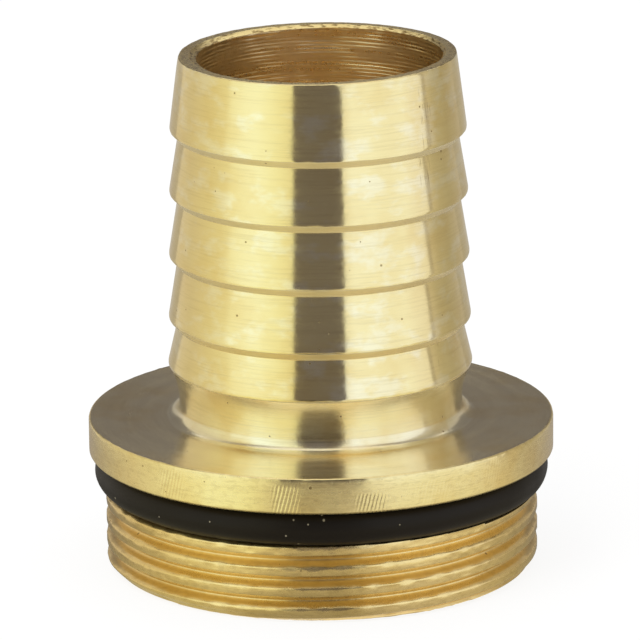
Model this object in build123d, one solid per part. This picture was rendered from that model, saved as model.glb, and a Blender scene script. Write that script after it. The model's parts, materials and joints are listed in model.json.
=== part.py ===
from build123d import *
import os

# Hose barb tail: a brass body turned from bar in one piece, and a rubber sealing ring under its flange.
# Millimetres. +Z runs along the waterway, from the threaded end up to the hose end.
# The origin is the centre of the threaded end's face, on which the part stands.

# Whole body
total_height = 57.5
bore_d = 27.4
bore_tip_chamfer = 0.33
bore_mouth_chamfer = 0.8

# Threaded spigot, G 1 1/2 parallel pipe thread to ISO 228-1. The solid keeps the major diameter.
thread_major_d = 47.803
thread_length = 8.3
thread_lead_chamfer = 1.0

# Flange between the thread and the hose tail
flange_d = 51.3
flange_bottom = 12.75
flange_thickness = 4.0
flange_lower_bevel = 0.25
flange_upper_bevel = 0.12

# Sealing ring. The rubber is kept plain: its round section has flats,
# and one of them lies on the seat and one against the flange.
ring_outer_d = 50.3
ring_cord_d = 4.4
ring_section_sides = 12

# Hose tail: barbs that shrink towards the tip, for a 32 mm hose
neck_d = 31.2
neck_fillet = 1.4
waist_z = 20.9              # where the waist's slope would meet the neck without its rounding
waist_fillet = 5.0
tip_d = 30.3
barb_count = 5
top_crest_drop = 8.4        # from the tip down to the first crest
barb_pitch = 7.05           # between crests
last_barb_pitch = 5.3       # the lowest barb is shorter than the rest
top_crest_d = 32.4
crest_growth = 0.26         # in diameter, from each barb to the next one down
barb_step = 0.85            # radial depth of the 45-degree underside
lowest_barb_step = 0.15     # the lowest barb has hardly any underside, and the waist starts under it
crest_land = 0.3            # height of the short cylinder on each crest

# Worked out from the dimensions above
flange_top = flange_bottom + flange_thickness
ring_centre_r = (ring_outer_d - ring_cord_d) / 2
ring_centre_z = flange_bottom - ring_cord_d / 2
seat_r = ring_centre_r - ring_cord_d / 2


def barb_crests():
    """Radius and height of each barb's crest, from the tip down."""
    crests = []
    height = total_height - top_crest_drop
    for index in range(barb_count):
        crests.append(((top_crest_d + index * crest_growth) / 2, height))
        height -= last_barb_pitch if index == barb_count - 2 else barb_pitch
    return crests


def spigot_outline():
    """Corners (radius, height, rounding) from the waterway's mouth to the flange's upper edge."""
    thread_r = thread_major_d / 2
    flange_r = flange_d / 2
    return [
        (bore_d / 2, bore_mouth_chamfer, 0),
        (bore_d / 2 + bore_mouth_chamfer, 0, 0),
        (thread_r - thread_lead_chamfer, 0, 0),
        (thread_r, thread_lead_chamfer, 0),
        (thread_r, thread_length, 0),
        (seat_r, thread_length, 0),
        (seat_r, flange_bottom, 0),
        (flange_r - flange_lower_bevel, flange_bottom, 0),
        (flange_r, flange_bottom + flange_lower_bevel, 0),
        (flange_r, flange_top - flange_upper_bevel, 0),
        (flange_r - flange_upper_bevel, flange_top, 0),
    ]


def tail_outline():
    """Corners (radius, height, rounding) from the foot of the neck up to the tip and into the bore."""
    neck_r = neck_d / 2
    crests = barb_crests()
    corners = [(neck_r, flange_top, neck_fillet), (neck_r, waist_z, waist_fillet)]
    for crest in reversed(crests):
        crest_r, crest_z = crest
        step = lowest_barb_step if crest is crests[-1] else barb_step
        corners.append((crest_r - step, crest_z - step, 0))
        corners.append((crest_r, crest_z, 0))
        corners.append((crest_r, crest_z + crest_land, 0))
    return corners + [
        (tip_d / 2, total_height, 0),
        (bore_d / 2 + bore_tip_chamfer, total_height, 0),
        (bore_d / 2, total_height - bore_tip_chamfer, 0),
    ]


def turned_body():
    """The whole brass body, revolved from its half section in one piece."""
    corners = spigot_outline() + tail_outline()
    with BuildPart() as body:
        with BuildSketch(Plane.XZ):
            with BuildLine():
                FilletPolyline(
                    *[(radius, height) for radius, height, _ in corners],
                    radius=[rounding for _, _, rounding in corners],
                    close=True,
                )
            make_face()
        revolve(axis=Axis.Z)
    return body.part


def sealing_ring():
    """The rubber ring, with a flat of its section on its seat and another against the flange."""
    half_side_turn = 180 / ring_section_sides
    with BuildPart() as ring:
        with BuildSketch(Plane.XZ):
            with Locations((ring_centre_r, ring_centre_z)):
                RegularPolygon(ring_cord_d / 2, ring_section_sides, major_radius=False, rotation=half_side_turn)
        revolve(axis=Axis.Z)
    return ring.part


os.makedirs("parts", exist_ok=True)
export_step(turned_body(), "parts/tail_body.step")
export_step(sealing_ring(), "parts/sealing_ring.step")
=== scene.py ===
"""Hose barb tail: the look of the turned brass body and its rubber ring, built on the packed frame."""

import json
import math

import bpy
from bpy.props import FloatProperty, FloatVectorProperty, IntProperty, PointerProperty
from mathutils import Matrix, Vector, noise


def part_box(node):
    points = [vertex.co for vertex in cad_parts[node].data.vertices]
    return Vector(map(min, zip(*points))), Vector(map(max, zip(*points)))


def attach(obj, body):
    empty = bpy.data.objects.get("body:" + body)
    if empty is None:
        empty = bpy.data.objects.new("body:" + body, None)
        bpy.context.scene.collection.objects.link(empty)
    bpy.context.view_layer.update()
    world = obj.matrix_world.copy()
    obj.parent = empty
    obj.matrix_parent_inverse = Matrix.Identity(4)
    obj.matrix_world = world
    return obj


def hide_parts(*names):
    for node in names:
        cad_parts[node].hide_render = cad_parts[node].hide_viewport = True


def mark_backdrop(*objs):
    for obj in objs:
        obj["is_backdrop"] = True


bl_info = {
    "name": "Hose barb tail",
    "version": (1, 0, 0),
    "blender": (4, 5, 0),
    "location": "View3D > Sidebar > Hose Tail",
    "description": "Builds the turned brass hose tail, its sealing ring and a small studio",
    "category": "Object",
}

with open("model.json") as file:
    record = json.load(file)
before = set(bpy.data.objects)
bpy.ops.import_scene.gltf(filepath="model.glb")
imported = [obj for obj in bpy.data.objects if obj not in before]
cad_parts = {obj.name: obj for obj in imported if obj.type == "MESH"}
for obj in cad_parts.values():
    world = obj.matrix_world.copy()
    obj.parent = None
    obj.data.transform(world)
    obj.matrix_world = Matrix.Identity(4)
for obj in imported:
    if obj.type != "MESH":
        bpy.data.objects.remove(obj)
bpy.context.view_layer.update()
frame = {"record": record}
BODY_LOW, BODY_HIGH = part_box("tail_body")
RING_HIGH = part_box("sealing_ring")[1]
MOUNTS = {mount["name"]: mount for mount in frame["record"]["mounts"]}
MM = 0.001
BORE_RADIUS = MOUNTS["waterway"]["dims"]["r_mm"] * MM
THREAD_RADIUS = MOUNTS["pipe_thread"]["dims"]["r_mm"] * MM
TURN = 2 * math.pi

# Small sizes of the meshes, in metres.
ARC_STEP = 0.00028          # longest run in a rounding
BURR_REACH = 0.00022        # how far a burr spreads over the faces beside its edge
BURR_GRAIN = 0.0011         # size of the burrs' bumps across the edge
BURR_RIPPLE = 0.0006        # size of their bumps up and down
LEAN_REACH = 0.0015         # how far below the tip its lean begins
CREST_ROUND = 0.00010       # rounding of the thread's crests
GROOVE_ROUND = 0.00022      # rounding of its grooves
SNAP = 0.00002              # thread rows this near to an end fall on it
RING_WAVE = 0.00003         # unevenness of the rubber ring
RING_WAVE_SIZE = 0.004      # length of its waves


# ---------------------------------------------------------------- sizes and colours


def length(label, text, default):
    """A length in metres that a user can change."""
    return FloatProperty(name=label, description=text, default=default, unit="LENGTH", subtype="DISTANCE",
                         precision=5)


def angle(label, text, degrees):
    """An angle that a user can change."""
    return FloatProperty(name=label, description=text, default=math.radians(degrees), unit="ROTATION",
                         subtype="ANGLE")


def colour(label, text, default):
    """A linear colour that a user can change."""
    return FloatVectorProperty(name=label, description=text, default=default, size=3, subtype="COLOR",
                               min=0.0, max=2.0)


def share(label, text, default):
    """A plain share from 0 to 1."""
    return FloatProperty(name=label, description=text, default=default, min=0.0, max=1.0, subtype="FACTOR")


def whole(label, text, default, least):
    """A whole number that a user can change."""
    return IntProperty(name=label, description=text, default=default, min=least)


class BarbSizes(bpy.types.PropertyGroup):
    """The barbed tail, from its tip down to the neck."""

    count: whole("Barbs", "Number of barbs", 5, 2)
    tip_diameter: length("Tip diameter", "Outer diameter at the hose end", 0.0303)
    first_drop: length("First crest", "From the tip down to the first crest", 0.0084)
    pitch: length("Pitch", "Height between crests", 0.00705)
    last_pitch: length("Last pitch", "Height between the last two crests", 0.0053)
    crest_diameter: length("Crest diameter", "Diameter of the first crest", 0.0324)
    growth: length("Growth", "Added to the diameter from each crest to the next one down", 0.00026)
    step: length("Step", "Radial depth of the 45-degree underside", 0.00085)
    lowest_step: length("Lowest step", "Radial depth of the lowest barb's underside", 0.00015)
    land: length("Land", "Height of the short cylinder on each crest", 0.0003)
    crest_edge: length("Crest edge", "Rounding of the crest's edges", 0.00010)
    root: length("Root", "Rounding at the foot of each cone", 0.00018)


class BodySizes(bpy.types.PropertyGroup):
    """Neck, flange, seat and bore."""

    neck_diameter: length("Neck diameter", "Narrowest part of the waist under the last barb", 0.0312)
    neck_fillet: length("Neck fillet", "Rounding between the neck and the flange", 0.0014)
    waist_height: length("Waist height", "Where the waist's slope would meet the neck", 0.0200)
    waist_fillet: length("Waist fillet", "Rounding of the waist", 0.0078)
    flange_bottom: length("Flange underside", "Height of the flange's underside", 0.01275)
    flange_thickness: length("Flange thickness", "Thickness of the flange", 0.004)
    lower_bevel: length("Lower bevel", "Bevel on the flange's lower edge", 0.00025)
    upper_bevel: length("Upper bevel", "Bevel on the flange's upper edge", 0.00018)
    seat_diameter: length("Seat diameter", "Seat of the sealing ring", 0.0415)
    tip_bevel: length("Tip bevel", "Bevel inside the tip", 0.00036)
    mouth_bevel: length("Mouth bevel", "Bevel at the waterway's lower mouth", 0.0008)
    runout: length("Bore run-out", "How far the drilled bore stands off the outside's axis", 0.00045)
    tip_lean: length("Tip lean", "How much lower the parted tip is on its left side", 0.00030)
    columns: whole("Columns", "Mesh columns round the body", 360, 64)


class ThreadSizes(bpy.types.PropertyGroup):
    """The pipe thread, 11 threads to the inch, cut with blunt crests."""

    pitch: length("Pitch", "Pitch of the pipe thread", 0.002309)
    depth: length("Depth", "Radial depth from crest to root", 0.00110)
    crest: length("Crest flat", "Height of the blunt crest", 0.00088)
    flank: angle("Flank angle", "Half of the angle between the flanks", 27.5)
    length_up: length("Length", "Height at which the thread ends", 0.0087)
    lead: length("Lead", "45-degree chamfer at the free end", 0.001)
    front_crest: length("Front crest", "Height of a crest's middle at the front", 0.00348)
    dish: length("Crest dish", "How far the middle of a crest lies under its edges", 0.00003)
    burr: length("Burr", "Largest burr on the crests", 0.00009)


class RingSizes(bpy.types.PropertyGroup):
    """The rubber sealing ring."""

    cord: length("Cord", "Thickness of the ring", 0.0041)
    squeeze: length("Squeeze", "How far the fitted ring stands inside its free size", 0.00008)
    columns: whole("Columns", "Mesh columns round the ring", 360, 64)
    rows: whole("Rows", "Mesh rows round the section", 44, 12)


class Finishes(bpy.types.PropertyGroup):
    """Colours and gloss of the brass and the rubber."""

    brass: colour("Brass", "Bare turned brass", (0.93, 0.77, 0.38))
    # Used for real stains and also as painted shade laid evenly over whole faces.
    deep_brass: colour("Deep brass", "Brass in stains and hollows", (0.84, 0.62, 0.24))
    # Painted light: this paler brass paints the light that other brass throws on the deck, fillet, neck and
    # ledge, and the sheen in the painted patches.
    pale_brass: colour("Pale brass", "Brass that is seen by light from other brass", (0.99, 0.92, 0.66))
    cut_brass: colour("Thread brass", "Brass on the thread", (0.96, 0.735, 0.34))
    bored_brass: colour("Bored brass", "Brass in the waterway", (0.88, 0.70, 0.41))
    pit: colour("Pits", "Brass in pits and scratches", (0.30, 0.19, 0.07))
    rubber: colour("Rubber", "Sealing ring", (0.007, 0.0055, 0.004))
    dust: colour("Dust", "Specks of dust on the rubber", (0.34, 0.30, 0.20))
    rubber_gloss: share("Rubber roughness", "Roughness of the ring", 0.42)


class Studio(bpy.types.PropertyGroup):
    """Camera, lamps and the screens that the metal mirrors."""

    distance: length("Camera distance", "From the aimed point to the camera", 0.65764)
    elevation: angle("Camera elevation", "Angle above the horizon", 15.598)
    roll: angle("Camera roll", "Roll about the view axis", -0.569)
    aim: length("Aim height", "Height on the axis that the camera looks at", 0.02721)
    sensor: FloatProperty(name="Sensor", description="Sensor width in millimetres", default=36.0)
    lens: FloatProperty(name="Lens", description="Focal length in millimetres", default=336.3)
    fill: share("Fill light", "World light on matt surfaces", 0.85)
    near: length("Near screen", "Radius of the front screen", 0.084)
    far: length("Far screen", "Radius of the rear screen", 0.400)


# ---------------------------------------------------------------- outlines


class Corner:
    """A corner of the half section: its rounding, the face that starts here, its burr and its arc's face."""

    def __init__(self, radius, height, rounding=0.0, face="", burr=0.0, arc=""):
        self.place = Vector((radius, height))
        self.rounding = rounding
        self.face = face
        self.burr = burr
        self.arc = arc


class Sample:
    """A point of the outline, the face between it and the next one, and its burr."""

    def __init__(self, place, face, burr=0.0):
        self.place = place
        self.face = face
        self.burr = burr


def trace(corners, fewest, longest):
    """Samples along an open outline: corners with a rounding become arcs, and long runs are divided."""
    samples = []
    here = corners[0].place
    face = corners[0].face
    samples.append(Sample(here, face, corners[0].burr))

    def run(start, end, name, burred_start, burred_end):
        """Divides a straight run; a row close to a burred end keeps the burr off the rest of the face."""
        way = end - start
        guard = min(BURR_REACH / way.length, 0.3) if way.length else 0.0
        parts = [guard] if burred_start and guard else []
        count = max(1, math.ceil(way.length / longest))
        parts += [step / count for step in range(1, count)]
        parts += [1.0 - guard] if burred_end and guard else []
        samples.extend(Sample(start.lerp(end, part), name) for part in sorted(parts))

    burred = corners[0].burr
    for before, corner, after in zip(corners, corners[1:], corners[2:]):
        into = (corner.place - before.place).normalized()
        away = (after.place - corner.place).normalized()
        turned = into.angle(away)
        reach = corner.rounding * math.tan(turned / 2)
        start = corner.place - into * reach
        end = corner.place + away * reach
        run(here, start, face, burred, corner.burr)
        burred = corner.burr
        if corner.rounding == 0.0:
            face = corner.face
            samples.append(Sample(corner.place, face, corner.burr))
            here = corner.place
            continue
        inward = (away - into).normalized()
        centre = corner.place + inward * (corner.rounding / math.cos(turned / 2))
        steps = max(fewest, math.ceil(corner.rounding * turned / ARC_STEP))
        for step in range(steps + 1):
            part = step / steps
            spoke = (start - centre).lerp(end - centre, part).normalized()
            name = corner.face if 2 * step >= steps else face
            if corner.arc and step < steps:
                name = corner.arc
            samples.append(Sample(centre + spoke * corner.rounding, name, corner.burr))
        face = corner.face
        here = end
    run(here, corners[-1].place, face, burred, corners[-1].burr)
    samples.append(Sample(corners[-1].place, corners[-1].face, corners[-1].burr))
    return samples


def barb_crests(barbs):
    """Radius and height of each crest's lower edge, from the tip down."""
    top = BODY_HIGH.z - barbs.first_drop
    crests = []
    for number in range(barbs.count):
        drop = number * barbs.pitch
        if number == barbs.count - 1:
            drop += barbs.last_pitch - barbs.pitch
        crests.append((barbs.crest_diameter / 2 + number * barbs.growth / 2, top - drop))
    return crests


def foot_corners(body, thread):
    """From the waterway's lower mouth, across the bottom face, to the thread."""
    return [
        Corner(BORE_RADIUS, body.mouth_bevel, face="foot"),
        Corner(BORE_RADIUS + body.mouth_bevel, 0.0, 0.00010, "foot"),
        Corner(THREAD_RADIUS - thread.lead, 0.0, face="foot"),
    ]


def upper_corners(body, barbs, thread):
    """From the ring's seat over the flange, up the barbs, over the tip and down the bore."""
    seat = body.seat_diameter / 2
    flange = BODY_HIGH.x
    under = body.flange_bottom
    over = under + body.flange_thickness
    neck = body.neck_diameter / 2
    tip = BODY_HIGH.z
    corners = [
        Corner(seat, thread.length_up, 0.00020, "seat"),
        Corner(seat, under, 0.00020, "seat"),
        Corner(flange - body.lower_bevel, under, 0.00008, "rim"),
        Corner(flange, under + body.lower_bevel, 0.00008, "rim", 0.00002),
        Corner(flange, over - body.upper_bevel, 0.00005, "rim", 0.00010),
        Corner(flange - body.upper_bevel, over, 0.00005, "deck", 0.00008),
        Corner(neck, over, body.neck_fillet, "neck", arc="fillet"),
        Corner(neck, body.waist_height, body.waist_fillet, "neck"),
    ]
    for number, (radius, height) in enumerate(barb_crests(barbs)[::-1]):
        step = barbs.step if number else barbs.lowest_step
        corners.append(Corner(radius - step, height - step, barbs.root if number else 0.0, "ledge"))
        corners.append(Corner(radius, height, barbs.crest_edge if number else 0.00005, "barbs", 0.00003))
        corners.append(Corner(radius, height + barbs.land, barbs.crest_edge, "barbs"))
    corners += [
        Corner(barbs.tip_diameter / 2, tip, 0.00012, "tip", 0.00006),
        Corner(BORE_RADIUS + body.tip_bevel, tip, 0.00006, "lip", 0.00009),
        Corner(BORE_RADIUS, tip - body.tip_bevel, 0.00008, "bore", 0.00007),
        Corner(BORE_RADIUS, body.mouth_bevel, face="bore"),
    ]
    return corners


def thread_profile(thread):
    """Axial offset from a crest's middle and radial drop of each row in one pitch of the thread."""
    half = thread.crest / 2
    slant = math.tan(thread.flank)
    foot = half + thread.depth * slant
    edge = CREST_ROUND
    hollow = GROOVE_ROUND
    upper = [
        (half - edge * 1.6, thread.dish),
        (half - edge * 0.8, 0.0),
        (half - edge * 0.1, edge * 0.3),
        (half + edge * 1.2 * slant, edge * 1.2),
        (half + thread.depth * slant * 0.5, thread.depth * 0.5),
        (foot - hollow * 1.2 * slant, thread.depth - hollow * 1.2),
        (foot - hollow * 0.1, thread.depth - hollow * 0.4),
        (foot + hollow * 0.6, thread.depth),
    ]
    lower = [(thread.pitch - offset, drop) for offset, drop in upper[::-1]]
    return [(0.0, thread.dish)] + upper + [(thread.pitch / 2, thread.depth)] + lower


# ---------------------------------------------------------------- meshes


FACES = (
    "foot", "thread", "groove", "seat", "rim", "deck", "fillet",
    "neck", "barbs", "ledge", "tip", "lip", "bore",
)
NOISE_GAIN = 1.6            # brings Blender's noise to about -1 to 1
FRONT_TURN = 0.75           # the front's share of a turn from the right-hand side
THREAD_EDGE_ROWS = (2, 3)   # rows from a crest's middle that carry its burr
THREAD_CREST_ROWS = 4       # rows on each side of a crest's middle that are cut as its face


def ragged(place, size):
    """A repeatable uneven value from about -1 to 1 at a place, at the given grain size."""
    return noise.noise(place / size) * NOISE_GAIN


class BodyMesh:
    """Collects the points and faces of the turned body, ring by ring."""

    def __init__(self, body, columns):
        self.body = body
        self.columns = columns
        self.points = []
        self.faces = []
        self.zones = []

    def direction(self, column):
        """Unit vector of a column, starting at the right and going round over the back."""
        turned = TURN * column / self.columns
        return Vector((math.cos(turned), math.sin(turned), 0.0))

    def point(self, radius, height, column, burr=0.0, shift=0.0):
        """Adds a point and returns its number."""
        out = self.direction(column)
        place = out * radius + Vector((shift, 0.0, height))
        if burr:
            place += out * (burr * (ragged(place, BURR_GRAIN) - 1.0) / 2)
            place.z += burr * ragged(place, BURR_RIPPLE) / 4
        lean_from = BODY_HIGH.z - LEAN_REACH
        if height > lean_from:
            part = (height - lean_from) / (BODY_HIGH.z - lean_from)
            place.z -= self.body.tip_lean * part * (1.0 - out.x) / 2
        place.z = min(max(place.z, BODY_LOW.z), BODY_HIGH.z)
        self.points.append(place)
        return len(self.points) - 1

    def ring(self, sample, shift=0.0):
        """Adds a level ring of points for one outline sample."""
        radius, height = sample.place
        return [self.point(radius, height, column, sample.burr, shift) for column in range(self.columns)]

    def bridge(self, lower, upper, face):
        """Joins two rings whose points stand one over the other."""
        for column in range(self.columns):
            after = (column + 1) % self.columns
            self.add_face((lower[column], lower[after], upper[after], upper[column]), face)

    def add_face(self, corners, face):
        """Adds a face, leaving out corners that fall together."""
        kept = [corner for number, corner in enumerate(corners) if corner != corners[number - 1]]
        if len(set(kept)) >= 3:
            self.faces.append(kept)
            self.zones.append(FACES.index(face))


def add_thread(mesh, thread):
    """Adds the helical rows between the bottom face and the seat; returns its first and last rings."""
    profile = thread_profile(thread)
    per_pitch = len(profile)
    top = thread.length_up
    root = THREAD_RADIUS - thread.depth
    start_height = thread.front_crest - FRONT_TURN * thread.pitch
    turns_below = math.ceil(start_height / thread.pitch) + 2
    first = start_height - turns_below * thread.pitch
    rows = per_pitch * (math.ceil((top - first) / thread.pitch) + 2)
    lead_foot = THREAD_RADIUS - thread.lead

    def row_height(row, column):
        """Height of a row of the thread at a column."""
        turn, step = divmod(row, per_pitch)
        return first + (turn + column / mesh.columns) * thread.pitch + profile[step][0]

    def cut_radius(height, column):
        """Radius of the thread where a level cut meets it."""
        phase = (height - first - column / mesh.columns * thread.pitch) % thread.pitch
        offsets = profile + [(thread.pitch, thread.dish)]
        for (low, low_drop), (high, high_drop) in zip(offsets, offsets[1:]):
            if phase <= high:
                part = (phase - low) / (high - low)
                return THREAD_RADIUS - (low_drop + (high_drop - low_drop) * part)
        return root

    bottom = []
    ending = []
    for column in range(mesh.columns):
        bottom.append(mesh.point(min(lead_foot, cut_radius(0.0, column)), 0.0, column, thread.burr * 2))
        ending.append(mesh.point(cut_radius(top, column), top, column))
    made = {}

    def corner(row, column):
        """The point of a row at a column, or the end's point where the thread is cut off."""
        if column == mesh.columns:
            row += per_pitch
            column = 0
        height = row_height(row, column)
        if height <= SNAP:
            return bottom[column]
        if height >= top - SNAP:
            return ending[column]
        if (row, column) not in made:
            drop = profile[row % per_pitch][1]
            radius = min(THREAD_RADIUS - drop, lead_foot + height)
            edged = min(row % per_pitch, per_pitch - row % per_pitch) in THREAD_EDGE_ROWS
            burr = thread.burr if edged else 0.0
            made[row, column] = mesh.point(radius, height, column, burr)
        return made[row, column]

    for row in range(rows):
        step = row % per_pitch
        on_crest = step < THREAD_CREST_ROWS or step >= per_pitch - THREAD_CREST_ROWS
        face = "thread" if on_crest else "groove"
        for column in range(mesh.columns):
            quad = (corner(row, column), corner(row, column + 1), corner(row + 1, column + 1),
                    corner(row + 1, column))
            mesh.add_face(quad, face)
    return bottom, ending


def make_object(name, points, faces, zones, materials):
    """A smooth mesh object with one material slot for each zone."""
    data = bpy.data.meshes.new(name)
    data.from_pydata([tuple(point) for point in points], [], faces)
    for material in materials:
        data.materials.append(material)
    data.polygons.foreach_set("material_index", zones)
    data.polygons.foreach_set("use_smooth", [True] * len(faces))
    data.validate()
    data.update()
    made = bpy.data.objects.new(name, data)
    bpy.context.scene.collection.objects.link(made)
    return made


def weigh_normals(piece):
    """Lets the large faces set the shading, so that only the small edges look round."""
    weighted = piece.modifiers.new("large_faces_first", "WEIGHTED_NORMAL")
    weighted.mode = "FACE_AREA"
    weighted.weight = 50
    weighted.thresh = 0.01
    weighted.keep_sharp = False


# ---------------------------------------------------------------- materials


class Wiring:
    """Adds and links the nodes of one material or world."""

    def __init__(self, owner):
        owner.use_nodes = True
        self.tree = owner.node_tree
        self.tree.nodes.clear()

    def add(self, kind, inputs=None, **settings):
        """Adds a node; inputs may be plain values or sockets to link."""
        node = self.tree.nodes.new(kind)
        for key, value in settings.items():
            setattr(node, key, value)
        for key, value in (inputs or {}).items():
            if isinstance(value, bpy.types.NodeSocket):
                self.tree.links.new(value, node.inputs[key])
            else:
                node.inputs[key].default_value = value
        return node

    def math(self, operation, first, second=0.0, third=0.0):
        """One Math node's result."""
        return self.add("ShaderNodeMath", {0: first, 1: second, 2: third}, operation=operation).outputs[0]

    def vector(self, operation, first, second):
        """One Vector Math node's result."""
        node = self.add("ShaderNodeVectorMath", {0: first, 1: second}, operation=operation)
        return node.outputs["Value"] if operation == "LENGTH" else node.outputs["Vector"]

    def spread(self, value, low, high, to_low=0.0, to_high=1.0):
        """Maps low..high to to_low..to_high, smoothly and clamped."""
        inputs = {"Value": value, "From Min": low, "From Max": high, "To Min": to_low, "To Max": to_high}
        return self.add("ShaderNodeMapRange", inputs, interpolation_type="SMOOTHSTEP").outputs["Result"]

    def noise(self, vector, scale, detail=2.0, rough=0.5):
        """A 3-D noise value."""
        inputs = {"Vector": vector, "Scale": scale, "Detail": detail, "Roughness": rough}
        return self.add("ShaderNodeTexNoise", inputs).outputs[0]

    def seen(self):
        """1 for the camera's rays, reflections and rays through glass, and 0 for light on matt surfaces."""
        path = self.add("ShaderNodeLightPath")
        seen = self.math("MAXIMUM", path.outputs["Is Camera Ray"], path.outputs["Is Glossy Ray"])
        return self.math("MAXIMUM", seen, path.outputs["Is Transmission Ray"])

    def blend(self, part, first, second):
        """Mixes two colours."""
        inputs = {"Factor": part, "A": first, "B": second}
        node = self.add("ShaderNodeMix", data_type="RGBA")
        for key, value in inputs.items():
            socket = next(found for found in node.inputs if found.name == key and found.enabled)
            if isinstance(value, bpy.types.NodeSocket):
                self.tree.links.new(value, socket)
            else:
                socket.default_value = value
        return next(found for found in node.outputs if found.enabled)

    def finish(self, shader, output="ShaderNodeOutputMaterial"):
        """Links the shader to a new output node."""
        self.tree.links.new(shader, self.add(output).inputs["Surface"])


def rgba(value, gain=1.0):
    """A colour with full alpha."""
    return (value[0] * gain, value[1] * gain, value[2] * gain, 1.0)


class TurnedFace:
    """How one group of faces was cut and coloured, with painted shade over the whole face and painted sheen
    in patches; heights and gaps are in millimetres, the rest are shares.
    """

    def __init__(self, roughness, mark_height, mark_gap, stain, pits, stretch=0.7, painted_shade=0.0, wear=0.0,
                 painted_sheen=0.0, tone="brass"):
        self.roughness = roughness
        self.mark_height = mark_height
        self.mark_gap = mark_gap
        self.stain = stain
        self.pits = pits
        self.stretch = stretch
        self.painted_shade = painted_shade
        self.wear = wear
        self.painted_sheen = painted_sheen
        self.tone = tone


# The seventh value of each face darkens the whole face towards the stained brass as painted shade; the deck,
# fillet, neck and ledge take the pale brass of painted reflections as their tone.
TURNED_FACES = {
    "foot": TurnedFace(0.30, 0.0020, 0.20, 0.35, 0.10),
    "thread": TurnedFace(0.26, 0.0016, 0.12, 0.60, 0.20, 0.4, 0.20, 0.15, tone="cut_brass"),
    "groove": TurnedFace(0.31, 0.0020, 0.20, 0.40, 0.15, 0.4, 0.25, 0.10, tone="cut_brass"),
    "seat": TurnedFace(0.30, 0.0020, 0.20, 0.40, 0.10),
    "rim": TurnedFace(0.25, 0.0022, 0.14, 0.60, 0.35, 0.5, wear=0.12),
    "deck": TurnedFace(0.20, 0.0012, 0.15, 0.30, 0.06, painted_shade=0.36, tone="pale_brass"),
    "fillet": TurnedFace(0.22, 0.0022, 0.14, 0.50, 0.20, 0.5, 0.18, tone="pale_brass"),
    "neck": TurnedFace(0.19, 0.0016, 0.16, 0.40, 0.10, tone="pale_brass"),
    # Painted sheen: the barbs and the ledge get random patches of the paler painted reflection brass.
    "barbs": TurnedFace(0.155, 0.0008, 0.20, 0.45, 0.14, 0.75, painted_sheen=0.55),
    "ledge": TurnedFace(0.50, 0.0012, 0.16, 0.10, 0.05, 0.2, 0.25, painted_sheen=0.3, tone="pale_brass"),
    "tip": TurnedFace(0.30, 0.0022, 0.14, 0.50, 0.45, 0.4, 0.20, 0.35),
    "lip": TurnedFace(0.34, 0.0040, 0.14, 0.50, 0.45, 0.3, 0.30, 0.90),
    "bore": TurnedFace(0.30, 0.0018, 0.12, 0.25, 0.06, 0.3, tone="bored_brass"),
}


# Marks on the brass and the rubber: lengths in millimetres, the rest are shares.
LEVEL_SHARE = 0.83          # how much going outwards shifts the marks, against 1 for going up
BORE_FEED = 0.43            # gap between the boring tool's rings
FLANGE_RADIUS = 25.65       # these three turn angles into lengths round each face
BARB_RADIUS = 15.8
RING_RADIUS = 25.1
CHATTER_GAP = 0.42
CHATTER_SLANT = -0.25
CHATTER_DEPTH = 3.6         # in units of the marks' height
SCRATCH_GAP = 0.16
SCRATCH_LENGTH = 2.6

# Patches: the middle round from the front, half the width, the lowest and highest height, and the strength.
CHATTER_PATCHES = (
    (-3.6, 2.1, 12.0, 16.2, 1.6),
    (5.5, 2.3, 12.0, 15.2, 1.5),
    (-17.4, 2.2, 13.0, 16.4, 1.0),
    (12.5, 3.0, 12.6, 16.0, 0.5),
)
SCRATCH_PATCHES = (
    (13.0, 1.1, 44.0, 56.5, 1.0),
    (14.8, 0.5, 19.0, 29.0, 1.0),
)

# Larger specks on the ring: the middle round from the front, the height and the radius.
DUST_SPECKS = (
    (0.2, 11.9, 0.17),
    (-1.5, 11.5, 0.11),
    (-3.1, 11.9, 0.12),
    (-3.9, 10.2, 0.13),
    (-12.6, 11.0, 0.11),
)


class FaceMap:
    """Millimetre coordinates of a turned face, shared by the functions that mark it."""

    def __init__(self, wires):
        place = wires.add("ShaderNodeTexCoord").outputs["Object"]
        self.place = wires.vector("MULTIPLY", place, (1000.0, 1000.0, 1000.0))
        self.flat = wires.vector("MULTIPLY", self.place, (1.0, 1.0, 0.0))
        self.radius = wires.add("ShaderNodeVectorMath", {0: self.flat}, operation="LENGTH").outputs["Value"]
        axes = wires.add("ShaderNodeSeparateXYZ", {0: self.place})
        self.height = axes.outputs["Z"]
        back = wires.math("MULTIPLY", axes.outputs["Y"], -1.0)
        self.turned = wires.math("ARCTAN2", axes.outputs["X"], back)
        self.along = wires.math("MULTIPLY_ADD", self.radius, LEVEL_SHARE, self.height)

    def drawn(self, wires, gap, length):
        """Coordinates for noise that is drawn out round the axis: gap and length are in millimetres."""
        lift = wires.add("ShaderNodeCombineXYZ", {2: wires.math("DIVIDE", self.along, gap)}).outputs[0]
        level = (1.0 / length, 1.0 / length, 0.0)
        return wires.vector("ADD", wires.vector("MULTIPLY", self.flat, level), lift)


def scattered(wires, place, scale, part, size):
    """Small round spots on a random share of the cells of a grid."""
    cells = wires.add("ShaderNodeTexVoronoi", {"Vector": place, "Scale": scale})
    draw = wires.add("ShaderNodeSeparateColor", {0: cells.outputs["Color"]})
    chosen = wires.math("GREATER_THAN", draw.outputs[0], 1.0 - part)
    edge = wires.math("MULTIPLY", draw.outputs[1], size)
    near = wires.math("LESS_THAN", cells.outputs["Distance"], edge)
    return wires.math("MULTIPLY", near, chosen)


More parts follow.
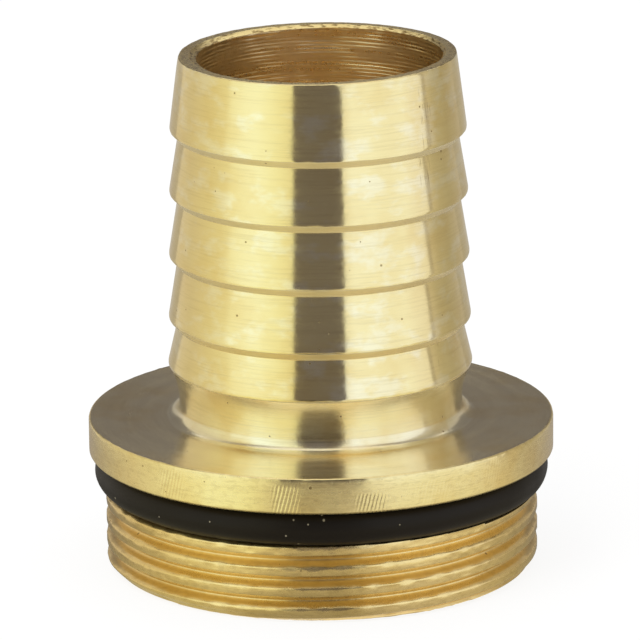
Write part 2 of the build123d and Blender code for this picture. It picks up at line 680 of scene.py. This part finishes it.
def bore_rings(wires, face):
    """Rings that the boring tool left, uneven round the bore, in units of the marks' height."""
    sway = wires.noise(face.drawn(wires, 0.9, 9.0), 1.0)
    phase = wires.math("MULTIPLY_ADD", sway, 5.0, wires.math("MULTIPLY", face.height, TURN / BORE_FEED))
    depth = wires.spread(wires.noise(face.drawn(wires, 1.6, 5.0), 1.0), 0.35, 0.65, 0.5, 9.0)
    return wires.math("MULTIPLY", wires.math("SINE", phase), depth)


def patched(wires, along, height, patches, mask, core, rise, fall):
    """Adds patches to a mask; core is the share of the width that is full, rise and fall are soft ends."""
    for centre, width, low, high, strength in patches:
        off = wires.math("ABSOLUTE", wires.math("SUBTRACT", along, centre))
        patch = wires.spread(off, width * core, width, strength, 0.0)
        patch = wires.math("MULTIPLY", patch, wires.spread(height, low, low + rise))
        patch = wires.math("MULTIPLY", patch, wires.spread(height, high - fall, high, 1.0, 0.0))
        mask = wires.math("MAXIMUM", patch, mask)
    return mask


def chatter(wires, face):
    """Slanted chatter marks in patches on the flange's side, in units of the marks' height."""
    along = wires.math("MULTIPLY", face.turned, FLANGE_RADIUS)
    sway = wires.noise(face.place, 0.8)
    slanted = wires.math("MULTIPLY_ADD", face.height, CHATTER_SLANT, along)
    phase = wires.math("MULTIPLY_ADD", sway, 3.0, wires.math("MULTIPLY", slanted, TURN / CHATTER_GAP))
    mask = wires.spread(wires.noise(face.flat, 0.21, 1.0), 0.62, 0.70, 0.0, 0.25)
    mask = patched(wires, along, face.height, CHATTER_PATCHES, mask, 0.4, 0.5, 0.7)
    return wires.math("MULTIPLY", wires.math("SINE", phase), wires.math("MULTIPLY", mask, CHATTER_DEPTH))


def scratches(wires, face):
    """A few upright scratches beside the front of the tail, as a share from 0 to 1."""
    along = wires.math("MULTIPLY", face.turned, BARB_RADIUS)
    across = wires.math("DIVIDE", along, SCRATCH_GAP)
    upright = wires.math("DIVIDE", face.height, SCRATCH_LENGTH)
    place = wires.add("ShaderNodeCombineXYZ", {0: across, 1: upright}).outputs[0]
    lines = wires.spread(wires.noise(place, 1.0, 1.0), 0.60, 0.68)
    mask = patched(wires, along, face.height, SCRATCH_PATCHES, 0.0, 0.5, 2.0, 2.0)
    return wires.math("MULTIPLY", lines, mask)


def turned_brass(zone, finishes):
    """Brass cut on a lathe: marks that run round the axis, stains, pits and stretched gloss, with painted
    shade and painted reflections in its colour.
    """
    cut = TURNED_FACES[zone]
    material = bpy.data.materials.new("brass_" + zone)
    wires = Wiring(material)
    face = FaceMap(wires)
    marks = wires.noise(face.drawn(wires, cut.mark_gap, 6.0), 1.0, 3.0, 0.6)
    bands = wires.noise(face.drawn(wires, 0.9, 22.0), 1.0)
    clouds = wires.noise(face.place, 0.16, 3.0, 0.55)
    grain = wires.noise(face.place, 2.2, 3.0, 0.6)
    pits = scattered(wires, face.place, 0.9, cut.pits, 0.16)

    # Colour: stains with painted shade over the whole face, painted sheen in random patches, the marks' dark
    # bottoms, pits and worn spots.
    stains_and_shade = wires.math("MULTIPLY_ADD", wires.spread(clouds, 0.42, 0.72), cut.stain, cut.painted_shade)
    base = wires.blend(stains_and_shade, rgba(getattr(finishes, cut.tone)), rgba(finishes.deep_brass))
    # Painted sheen: random patches lightened towards the pale brass of painted reflections.
    sheen_patches = wires.noise(face.drawn(wires, 2.2, 4.5), 1.0, 3.0, 0.6)
    base = wires.blend(wires.spread(sheen_patches, 0.48, 0.68, 0.0, cut.painted_sheen), base, rgba(finishes.pale_brass))
    base = wires.blend(wires.spread(marks, 0.25, 0.55, 0.13, 0.0), base, rgba(finishes.pit))
    base = wires.blend(wires.math("MULTIPLY", pits, 0.7), base, rgba(finishes.pit))
    worn = wires.spread(wires.noise(face.drawn(wires, 0.35, 0.9), 1.0), 0.50, 0.62, 0.0, cut.wear)
    base = wires.blend(worn, base, rgba(finishes.pit))

    # Gloss: uneven in the grain and in bands round the axis, and dull in the pits.
    rough = wires.math("MULTIPLY_ADD", wires.spread(grain, 0.3, 0.7, -1.0, 1.0), 0.025, cut.roughness)
    rough = wires.math("MULTIPLY_ADD", wires.spread(bands, 0.3, 0.7, -1.0, 1.0), 0.03, rough)
    rough = wires.math("MULTIPLY_ADD", pits, 0.25, rough)

    # Relief, in units of the marks' height.
    relief = wires.math("MULTIPLY_ADD", bands, 0.9, marks)
    relief = wires.math("MULTIPLY_ADD", grain, 3.0, relief)
    relief = wires.math("MULTIPLY_ADD", pits, -3.0, relief)
    if zone == "barbs":
        scored = scratches(wires, face)
        base = wires.blend(wires.math("MULTIPLY", scored, 0.55), base, rgba(finishes.pit))
        relief = wires.math("MULTIPLY_ADD", scored, -2.0, relief)
    if zone == "bore":
        relief = wires.math("ADD", relief, bore_rings(wires, face))
    if zone == "rim":
        relief = wires.math("ADD", relief, chatter(wires, face))
    height = cut.mark_height * MM
    bump = wires.add("ShaderNodeBump", {"Strength": 1.0, "Distance": height, "Height": relief})
    tangent = wires.add("ShaderNodeTangent", direction_type="RADIAL", axis="Z")
    shader = wires.add("ShaderNodeBsdfPrincipled", {
        "Base Color": base, "Metallic": 1.0, "Roughness": rough, "Anisotropic": cut.stretch,
        "Anisotropic Rotation": 0.25, "Tangent": tangent.outputs[0], "Normal": bump.outputs[0]})
    wires.finish(shader.outputs[0])
    return material


def ring_rubber(finishes):
    """Nitrile rubber: nearly black, with a fine moulded grain and a little dust."""
    material = bpy.data.materials.new("ring_rubber")
    wires = Wiring(material)
    face = FaceMap(wires)
    grain = wires.noise(face.place, 5.0, 3.0, 0.6)
    clouds = wires.noise(face.place, 0.3)
    specks = scattered(wires, face.place, 1.2, 0.10, 0.15)
    along = wires.math("MULTIPLY", face.turned, RING_RADIUS)
    for spot, height, size in DUST_SPECKS:
        aside = wires.math("SUBTRACT", along, spot)
        above = wires.math("SUBTRACT", face.height, height)
        apart = wires.add("ShaderNodeCombineXYZ", {0: aside, 1: above})
        off = wires.add("ShaderNodeVectorMath", {0: apart.outputs[0]}, operation="LENGTH").outputs["Value"]
        specks = wires.math("MAXIMUM", specks, wires.spread(off, size * 0.5, size, 1.0, 0.0))
    base = wires.blend(wires.math("MULTIPLY", specks, 0.8), rgba(finishes.rubber), rgba(finishes.dust))
    rough = wires.math("MULTIPLY_ADD", clouds, 0.15, finishes.rubber_gloss - 0.07)
    bump = wires.add("ShaderNodeBump", {"Strength": 0.6, "Distance": 0.02 * MM, "Height": grain})
    shader = wires.add("ShaderNodeBsdfPrincipled", {
        "Base Color": base, "Roughness": rough, "IOR": 1.5, "Specular IOR Level": 0.22,
        "Specular Tint": (1.0, 0.86, 0.70, 1.0), "Normal": bump.outputs[0]})
    wires.finish(shader.outputs[0])
    return material


# ---------------------------------------------------------------- pieces


class TAIL_OT_body(bpy.types.Operator):
    """Turn the brass body: bore, threaded foot, ring seat, flange, neck and barbs"""

    bl_idname = "tail.body"
    bl_label = "Turned body"

    def execute(self, context):
        scene = context.scene
        body, barbs, thread = scene.tail_body, scene.tail_barbs, scene.tail_thread
        mesh = BodyMesh(body, body.columns)
        foot = trace(foot_corners(body, thread), 2, 0.0025)
        upper = trace(upper_corners(body, barbs, thread), 3, 0.0016)
        first = mesh.ring(foot[0], body.runout)
        rings = [first] + [mesh.ring(sample) for sample in foot[1:-1]]
        bottom, ending = add_thread(mesh, thread)
        rings.append(bottom)
        for lower, higher in zip(rings, rings[1:]):
            mesh.bridge(lower, higher, "foot")
        before = ending
        face = "seat"
        for number, sample in enumerate(upper):
            bored = sample.face == "bore"
            here = first if number == len(upper) - 1 else mesh.ring(sample, body.runout if bored else 0.0)
            mesh.bridge(before, here, face)
            before = here
            face = sample.face
        materials = [turned_brass(zone, scene.tail_finishes) for zone in FACES]
        piece = make_object("brass_body", mesh.points, mesh.faces, mesh.zones, materials)
        weigh_normals(piece)
        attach(piece, "root")
        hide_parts("tail_body")
        return {"FINISHED"}


class TAIL_OT_ring(bpy.types.Operator):
    """Mould the rubber sealing ring that sits under the flange"""

    bl_idname = "tail.ring"
    bl_label = "Sealing ring"

    def execute(self, context):
        sizes = context.scene.tail_ring
        cord = sizes.cord / 2
        middle = RING_HIGH.z - cord
        centre = RING_HIGH.x - cord - sizes.squeeze
        points = []
        faces = []
        for column in range(sizes.columns):
            turned = TURN * column / sizes.columns
            out = Vector((math.cos(turned), math.sin(turned), 0.0))
            for row in range(sizes.rows):
                inside = TURN * row / sizes.rows
                place = out * (centre + cord * math.cos(inside))
                place.z = middle + cord * math.sin(inside)
                place -= out * (RING_WAVE * (1.0 + ragged(place, RING_WAVE_SIZE)))
                points.append(place)
                after = (column + 1) % sizes.columns
                above = (row + 1) % sizes.rows
                faces.append((column * sizes.rows + row, after * sizes.rows + row,
                              after * sizes.rows + above, column * sizes.rows + above))
        material = ring_rubber(context.scene.tail_finishes)
        piece = make_object("rubber_ring", points, faces, [0] * len(faces), [material])
        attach(piece, "root")
        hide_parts("sealing_ring")
        return {"FINISHED"}


# ---------------------------------------------------------------- studio


FLOOR_REACH = 3.0           # metres from the middle of the floor to its sides
PAPER_GLOW = 1.06           # keeps the floor white where the camera sees it
PAPER_GLOW_SHARE = 0.80     # the rest of the floor's look is its shadow
WARMTH = 1.07               # red of the screens' light, against its green
WARMTH_LOSS = 0.35          # how fast brighter light turns white
WARM_UP_TO = 0.65           # the level from which it does
SCREEN_SPACING = 2.0        # degrees between the columns of a screen

# Ends of the screens, as radii and heights in metres.
SCREEN_FOOT = 0.0005
FRONT_TOP = 0.110
HOOD_FOOT = 0.108
HOOD_END = (0.067, 0.128)
REAR_TOP = 0.072
DUSK_TOP = 0.300
REAR_FLOOR_HEIGHT = 0.0006
CARD_HEIGHT = 0.0001
CARD_SPLIT = 0.048
CARD_END = 0.0230
FLAG_RADIUS = 0.030
FLAG_FOOT = 0.0172
FLAG_TOP = 0.0206


def around(radius, azimuth, height):
    """A place on a ring round the axis; azimuth 0 is the front and 90 the right, in degrees."""
    turned = math.radians(azimuth)
    return Vector((radius * math.sin(turned), -radius * math.cos(turned), height))


def light_at(azimuth, stops):
    """The light between two stops; a stop is an azimuth in degrees, a level and a share of blue."""
    for (start, level, blue), (end, next_level, next_blue) in zip(stops, stops[1:]):
        if azimuth <= end + 1e-6:
            part = max(0.0, (azimuth - start) / (end - start))
            level += (next_level - level) * part
            blue += (next_blue - blue) * part
            break
    warm = WARMTH - WARMTH_LOSS * max(0.0, level - WARM_UP_TO)
    return Vector((level * warm, level, level * blue))


def swept(stops, spacing):
    """Azimuths from the first stop to the last, with every stop among them."""
    azimuths = [stops[0][0]]
    for (start, *_), (end, *_) in zip(stops, stops[1:]):
        count = max(1, math.ceil((end - start) / spacing))
        azimuths += [start + (end - start) * step / count for step in range(1, count + 1)]
    return azimuths


def screen(name, lower, upper, stops, fade=1.0):
    """A curved screen between two (radius, height) rings; fade scales the light at the upper one."""
    points, faces, glow = [], [], []
    for step, azimuth in enumerate(swept(stops, SCREEN_SPACING)):
        points += [around(lower[0], azimuth, lower[1]), around(upper[0], azimuth, upper[1])]
        light = light_at(azimuth, stops)
        glow += [light, light * fade]
        if step:
            faces.append((2 * step - 2, 2 * step, 2 * step + 1, 2 * step - 1))
    return glowing(name, points, faces, glow)


def glowing(name, points, faces, glow):
    """A stage piece that only reflections see, with its light held in a colour attribute."""
    material = bpy.data.materials.new("light_" + name)
    wires = Wiring(material)
    light = wires.add("ShaderNodeAttribute", attribute_name="glow").outputs["Color"]
    wires.finish(wires.add("ShaderNodeEmission", {"Color": light, "Strength": 1.0}).outputs[0])
    made = make_object(name, points, faces, [0] * len(faces), [material])
    layer = made.data.color_attributes.new("glow", "FLOAT_COLOR", "POINT")
    for value, level in zip(layer.data, glow):
        value.color = (level.x, level.y, level.z, 1.0)
    made.visible_camera = False
    made.visible_diffuse = False
    made.visible_shadow = False
    made.visible_transmission = False
    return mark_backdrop(made)


def light_world(studio):
    """White to the camera and in reflections, softer on matt surfaces."""
    world = bpy.data.worlds.new("studio_world")
    bpy.context.scene.world = world
    wires = Wiring(world)
    strength = wires.math("MULTIPLY_ADD", wires.seen(), 1.0 - studio.fill, studio.fill)
    back = wires.add("ShaderNodeBackground", {"Color": (1.0, 1.0, 1.0, 1.0), "Strength": strength})
    wires.finish(back.outputs[0], "ShaderNodeOutputWorld")


def lay_floor():
    """A white floor that keeps a soft shadow."""
    material = bpy.data.materials.new("floor_paper")
    wires = Wiring(material)
    place = wires.add("ShaderNodeTexCoord").outputs["Object"]
    fibre = wires.noise(place, 900.0, 2.0, 0.5)
    tone = wires.blend(fibre, (0.88, 0.88, 0.88, 1.0), (0.92, 0.92, 0.92, 1.0))
    matt = wires.add("ShaderNodeBsdfDiffuse", {"Color": tone})
    lit = wires.add("ShaderNodeEmission", {"Color": (1.0, 1.0, 1.0, 1.0), "Strength": PAPER_GLOW})
    part = wires.math("MULTIPLY", wires.seen(), PAPER_GLOW_SHARE)
    mixed = wires.add("ShaderNodeMixShader", {0: part, 1: matt.outputs[0], 2: lit.outputs[0]})
    wires.finish(mixed.outputs[0])
    signs = ((-1, -1), (1, -1), (1, 1), (-1, 1))
    corners = [Vector((x * FLOOR_REACH, y * FLOOR_REACH, 0.0)) for x, y in signs]
    floor = make_object("floor", corners, [(0, 1, 2, 3)], [0], [material])


def hang_lamp(name, place, size, watts, tint):
    """A soft lamp aimed at the object, kept out of the reflections."""
    data = bpy.data.lights.new(name, "AREA")
    data.shape = "DISK"
    data.size = size
    data.energy = watts
    data.color = tint
    lamp = bpy.data.objects.new(name, data)
    lamp.location = place
    lamp.rotation_euler = (Vector((0.0, 0.0, 0.02)) - place).to_track_quat("-Z", "Y").to_euler()
    lamp.visible_glossy = False
    bpy.context.scene.collection.objects.link(lamp)


def set_camera(studio):
    """The camera, in front and a little above."""
    aim = Vector((0.0, 0.0, studio.aim))
    back = Vector((0.0, -math.cos(studio.elevation), math.sin(studio.elevation)))
    data = bpy.data.cameras.new("camera")
    data.sensor_width = studio.sensor
    data.lens = studio.lens
    data.clip_start = 0.01
    data.clip_end = 20.0
    camera = bpy.data.objects.new("camera", data)
    turned = back.to_track_quat("Z", "Y").to_matrix() @ Matrix.Rotation(studio.roll, 3, "Z")
    camera.matrix_world = Matrix.Translation(aim + back * studio.distance) @ turned.to_4x4()
    bpy.context.scene.collection.objects.link(camera)
    bpy.context.scene.camera = camera


# Light of the screens: azimuth in degrees from the front, level, and the share of blue in it.
FRONT_LIGHT = (
    (-132.0, 0.64, 0.90), (-110.0, 0.61, 0.82), (-92.0, 0.69, 0.76), (-80.0, 0.77, 0.76),
    (-71.0, 0.86, 0.80), (-66.0, 1.02, 0.90), (-55.0, 1.12, 0.98), (-45.0, 1.15, 1.00),
    (-35.0, 1.08, 0.90), (-27.0, 0.99, 0.82), (-19.0, 0.88, 0.78), (-17.0, 0.155, 1.10),
    (16.6, 0.145, 1.15), (17.6, 0.98, 1.05), (24.0, 1.10, 1.14), (36.0, 1.09, 1.12),
    (45.0, 1.04, 1.08), (54.0, 1.02, 1.08), (64.0, 1.06, 1.12), (74.0, 0.95, 1.10),
    (84.0, 0.88, 1.05), (85.5, 0.42, 0.95), (87.5, 0.42, 0.95), (89.0, 0.56, 0.88),
    (96.0, 0.46, 0.84), (110.0, 0.40, 0.84), (124.0, 0.43, 0.92), (132.0, 0.48, 0.95),
)
HOOD_LIGHT = (
    (-132.0, 0.30, 1.0), (-60.0, 0.36, 1.0), (-42.0, 0.62, 0.9), (-19.0, 0.70, 0.85),
    (-17.0, 0.15, 1.0), (17.0, 0.15, 1.0), (18.0, 0.72, 1.0), (46.0, 0.72, 1.0),
    (60.0, 0.36, 1.0), (132.0, 0.30, 1.0),
)
REAR_LIGHT = (
    (118.0, 0.44, 0.95), (140.0, 0.44, 0.95), (158.0, 0.38, 0.90), (180.0, 0.40, 0.90),
    (202.0, 0.44, 0.90), (218.0, 0.54, 0.95), (242.0, 0.60, 0.92),
)
REAR_FLOOR_LIGHT = (
    (118.0, 0.36, 0.95), (140.0, 0.40, 0.90), (158.0, 0.46, 0.90), (180.0, 0.52, 0.90),
    (202.0, 0.50, 0.90), (218.0, 0.44, 0.90), (242.0, 0.40, 0.95),
)
DUSK_LIGHT = ((118.0, 0.17, 1.02), (242.0, 0.17, 1.02))
FLOOR_LIGHT = (
    (-180.0, 0.34, 0.95), (-125.0, 0.36, 0.95), (-108.0, 0.46, 0.88), (-83.0, 0.68, 0.80),
    (-67.0, 0.86, 0.78), (-58.0, 1.00, 0.78), (-48.0, 1.06, 0.78), (-34.0, 1.03, 0.76),
    (-29.0, 0.96, 0.70), (-25.0, 0.80, 0.68), (-19.0, 0.62, 0.72), (-8.0, 0.54, 0.78),
    (6.0, 0.56, 0.82), (13.0, 0.66, 0.86), (19.0, 0.78, 0.86), (34.0, 0.89, 0.86),
    (50.0, 0.86, 0.84), (67.0, 0.78, 0.80), (83.0, 0.64, 0.80), (100.0, 0.48, 0.88),
    (125.0, 0.38, 1.0), (180.0, 0.34, 0.95),
)
FOOT_LIGHT = (
    (-180.0, 0.22, 0.90), (-110.0, 0.28, 0.85), (-80.0, 0.42, 0.75), (-60.0, 0.62, 0.70),
    (-45.0, 0.76, 0.74), (-30.0, 0.74, 0.72), (-19.0, 0.54, 0.74), (-8.0, 0.47, 0.80),
    (6.0, 0.47, 0.84), (14.0, 0.57, 0.84), (22.0, 0.66, 0.86), (40.0, 0.70, 0.86),
    (60.0, 0.60, 0.80), (83.0, 0.42, 0.80), (110.0, 0.30, 0.90), (180.0, 0.22, 0.90),
)
FLAG_LIGHT = ((-12.3, 0.14, 1.0), (12.3, 0.14, 1.0))
FOOT_FADE = 0.74            # light at the inner ring of the foot card, against its outer one
FLAG_FADE = 0.10            # light at the top of the neck flag, against its foot

LAMP_PLACE = Vector((-0.35, -0.45, 0.75))
LAMP_SIZE = 0.5
LAMP_WATTS = 2.0
LAMP_TINT = (1.0, 0.99, 0.97)


class TAIL_OT_studio(bpy.types.Operator):
    """Set the floor, the screens round the object, the lamp, the world and the camera"""

    bl_idname = "tail.studio"
    bl_label = "Studio"

    def execute(self, context):
        studio = context.scene.tail_studio
        context.scene.view_settings.view_transform = "Standard"
        light_world(studio)
        lay_floor()
        near = studio.near
        far = studio.far
        screen("front_screen", (near, SCREEN_FOOT), (near, FRONT_TOP), FRONT_LIGHT)
        screen("front_hood", (near * 0.99, HOOD_FOOT), HOOD_END, HOOD_LIGHT)
        screen("rear_screen", (far, SCREEN_FOOT), (far, REAR_TOP), REAR_LIGHT)
        screen("rear_dusk", (far, REAR_TOP), (far, DUSK_TOP), DUSK_LIGHT)
        screen("rear_floor", (far, REAR_FLOOR_HEIGHT), (near, REAR_FLOOR_HEIGHT), REAR_FLOOR_LIGHT)
        screen("floor_card", (near * 0.995, CARD_HEIGHT), (CARD_SPLIT, CARD_HEIGHT), FLOOR_LIGHT)
        screen("foot_card", (CARD_SPLIT, CARD_HEIGHT), (CARD_END, CARD_HEIGHT), FOOT_LIGHT, FOOT_FADE)
        screen("neck_flag", (FLAG_RADIUS, FLAG_FOOT), (FLAG_RADIUS, FLAG_TOP), FLAG_LIGHT, FLAG_FADE)
        hang_lamp("soft_lamp", LAMP_PLACE, LAMP_SIZE, LAMP_WATTS, LAMP_TINT)
        set_camera(studio)
        return {"FINISHED"}


# ---------------------------------------------------------------- add-on


SETTINGS = {
    "tail_barbs": BarbSizes,
    "tail_body": BodySizes,
    "tail_thread": ThreadSizes,
    "tail_ring": RingSizes,
    "tail_finishes": Finishes,
    "tail_studio": Studio,
}


class TAIL_PT_panel(bpy.types.Panel):
    """Sizes, colours and pieces of the hose tail"""

    bl_label = "Hose Tail"
    bl_idname = "TAIL_PT_panel"
    bl_space_type = "VIEW_3D"
    bl_region_type = "UI"
    bl_category = "Hose Tail"

    def draw(self, context):
        for piece in (TAIL_OT_body, TAIL_OT_ring, TAIL_OT_studio):
            self.layout.operator(piece.bl_idname)
        for key, group in SETTINGS.items():
            box = self.layout.box()
            box.label(text=group.__doc__)
            for name in group.__annotations__:
                box.prop(getattr(context.scene, key), name)


PARTS = tuple(SETTINGS.values()) + (TAIL_OT_body, TAIL_OT_ring, TAIL_OT_studio, TAIL_PT_panel)


def register():
    """Adds the classes and the settings to Blender."""
    for part in PARTS:
        bpy.utils.register_class(part)
    for key, group in SETTINGS.items():
        setattr(bpy.types.Scene, key, PointerProperty(type=group))


def unregister():
    """Takes the settings and the classes out again."""
    for key in SETTINGS:
        delattr(bpy.types.Scene, key)
    for part in reversed(PARTS):
        bpy.utils.unregister_class(part)


def main():
    """Builds the pieces and the studio."""
    register()
    bpy.ops.tail.body()
    bpy.ops.tail.ring()
    bpy.ops.tail.studio()


if __name__ == "__main__":
    main()
